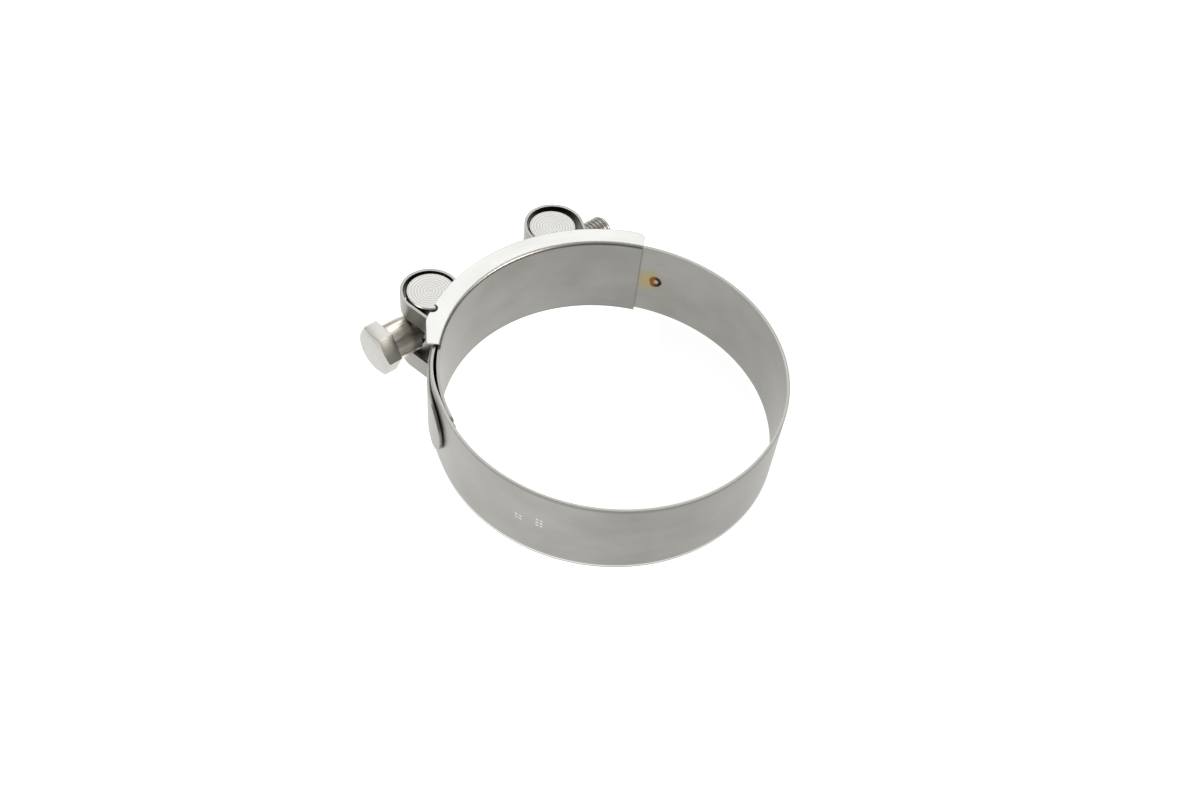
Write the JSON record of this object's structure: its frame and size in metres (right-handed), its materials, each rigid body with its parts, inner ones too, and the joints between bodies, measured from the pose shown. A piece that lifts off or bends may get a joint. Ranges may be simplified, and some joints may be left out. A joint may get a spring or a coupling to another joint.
{
  "type": "pipe repair clamp",
  "caption": "Wide steel band clamp that closes round a pipe: folded loops hold cross barrels, and a hex bolt with a spacer sleeve draws them together over an inner bridge plate.",
  "frame": {"origin": "centre of the ring, on the pipe's axis at the middle of the band's width", "axes": "+Z along the pipe's axis, +Y from the ring's centre towards the bolt, +X along the bolt from its head to its tip"},
  "size_m": [0.096, 0.1083, 0.0268],
  "materials": {
    "band_steel": "satin rolled strip",
    "bridge_steel": "satin rolled strip",
    "barrel_steel": "turned ends with fine lathe rings",
    "bolt_steel": "smooth satin, slightly polished",
    "spacer_steel": "smooth turned tube"
  },
  "bodies": {
    "right_side": {"band_right": "band_steel"},
    "left_side": {"band_left": "band_steel"},
    "bridge": {"bridge": "bridge_steel"},
    "threaded_barrel": {"threaded_barrel": "barrel_steel"},
    "plain_barrel": {"plain_barrel": "barrel_steel"},
    "spacer": {"spacer": "spacer_steel"},
    "bolt": {"bolt": "bolt_steel"}
  },
  "joints": [
    {"name": "band_flex", "type": "hinge", "parent": "right_side", "child": "left_side", "pos_m": [0, -0.0476, 0], "axis": [0, 0, 1], "range_deg": [0, 4.75]},
    {"name": "bridge_flex", "type": "hinge", "parent": "right_side", "child": "bridge", "pos_m": [0.03705, 0.02843, 0], "axis": [0, 0, 1], "range_deg": [0, 2.4]},
    {"name": "threaded_barrel_turn", "type": "hinge", "parent": "right_side", "child": "threaded_barrel", "pos_m": [0.0221, 0.05145, 0], "axis": [0, 0, 1], "range_deg": [0, 2.4]},
    {"name": "plain_barrel_turn", "type": "hinge", "parent": "left_side", "child": "plain_barrel", "pos_m": [-0.0221, 0.05145, 0], "axis": [0, 0, 1], "range_deg": [-2.4, 0]},
    {"name": "bolt_travel", "type": "slide", "parent": "threaded_barrel", "child": "spacer", "axis": [1, 0, 0], "range_m": [-0.0083, 0]},
    {"name": "bolt_spin", "type": "hinge", "parent": "spacer", "child": "bolt", "pos_m": [0, 0.05145, 0], "axis": [1, 0, 0], "range_deg": [-2340, 0]}
  ],
  "couplings": [
    {"joint": "bolt_travel", "follows": "bolt_spin", "m_per_rad": 0.00019894},
    {"joint": "band_flex", "follows": "bolt_spin", "ratio": -0.0020084},
    {"joint": "bridge_flex", "follows": "bolt_spin", "ratio": -0.0010042},
    {"joint": "threaded_barrel_turn", "follows": "bolt_spin", "ratio": -0.0010042},
    {"joint": "plain_barrel_turn", "follows": "bolt_spin", "ratio": 0.0010042}
  ]
}
